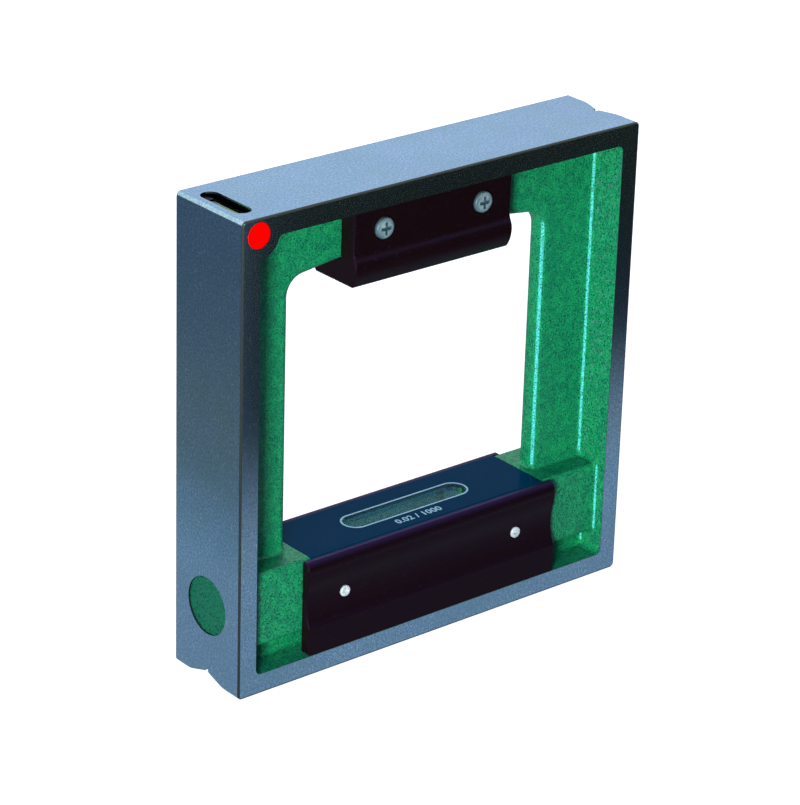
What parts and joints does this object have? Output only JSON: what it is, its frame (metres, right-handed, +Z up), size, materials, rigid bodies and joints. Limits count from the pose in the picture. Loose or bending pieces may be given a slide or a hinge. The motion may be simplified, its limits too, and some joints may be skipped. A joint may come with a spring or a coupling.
{
  "type": "precision machinist level",
  "caption": "Square cast-iron frame level with ground faces, V-ways, a windowed main vial, a cross vial in one corner and a two-half moulded grip.",
  "frame": {"origin": "middle of the base, on the plane that the base lands stand on", "axes": "+X along the front face from the cross vial's side to the side with the V-way, +Y from the front face to the rear, +Z up"},
  "size_m": [0.2, 0.042, 0.2],
  "materials": {
    "cast_frame": "ground outer faces, green hammertone paint in the recesses",
    "moulding": "moulded, semi-gloss, near-black brown",
    "screw_steel": "bright zinc",
    "plate": "polished dark plate",
    "pane": "clear",
    "cap_paint": "green hammertone paint",
    "brass_fitting": "turned",
    "steel_fitting": "turned",
    "vial_glass": "clear",
    "vial_liquid": "pale green spirit",
    "bubble_gas": "clear",
    "cement": "dull",
    "red_plug": "gloss"
  },
  "bodies": {
    "frame_body": {"frame": "cast_frame", "front_grip": "moulding", "rear_grip": "moulding", "grip_screws": "screw_steel", "grip_nuts": "screw_steel", "front_cover": "moulding", "rear_cover": "moulding", "front_cover_screws": "screw_steel", "rear_cover_screws": "screw_steel", "window_plate": "plate", "window_glass": "pane", "bore_cap": "cap_paint", "adjuster_lock_ring": "brass_fitting", "pivot_bush": "brass_fitting", "cross_vial_sleeve": "brass_fitting", "cross_vial_glass": "vial_glass", "cross_vial_liquid": "vial_liquid", "cross_vial_seats": "cement", "cross_vial_plug": "red_plug"},
    "adjuster": {"zero_adjuster": "steel_fitting"},
    "vial_carrier": {"vial_holder": "brass_fitting", "holder_adjuster_plug": "steel_fitting", "holder_pivot_plug": "steel_fitting", "main_vial_glass": "vial_glass", "main_vial_liquid": "vial_liquid", "main_vial_seats": "cement"},
    "main_bubble": {"main_vial_bubble": "bubble_gas"},
    "cross_bubble": {"cross_vial_bubble": "bubble_gas"}
  },
  "joints": [
    {"name": "adjuster_turn", "type": "hinge", "parent": "frame_body", "child": "adjuster", "pos_m": [-0.086, 0, 0.03325], "axis": [1, 0, 0], "range_deg": [-30, 30]},
    {"name": "holder_tilt", "type": "hinge", "parent": "frame_body", "child": "vial_carrier", "pos_m": [0.068, 0, 0.03325], "axis": [0, 1, 0], "range_deg": [-0.257, 0.257]},
    {"name": "main_bubble_travel", "type": "slide", "parent": "vial_carrier", "child": "main_bubble", "axis": [1, 0, 0], "range_m": [-0.025, 0.025], "deforming": ["main_vial_liquid"]},
    {"name": "cross_bubble_travel", "type": "slide", "parent": "frame_body", "child": "cross_bubble", "axis": [0, 1, 0], "range_m": [-0.0055, 0.0055], "deforming": ["cross_vial_liquid"]}
  ],
  "couplings": [
    {"joint": "holder_tilt", "follows": "adjuster_turn", "ratio": 0.008488}
  ]
}
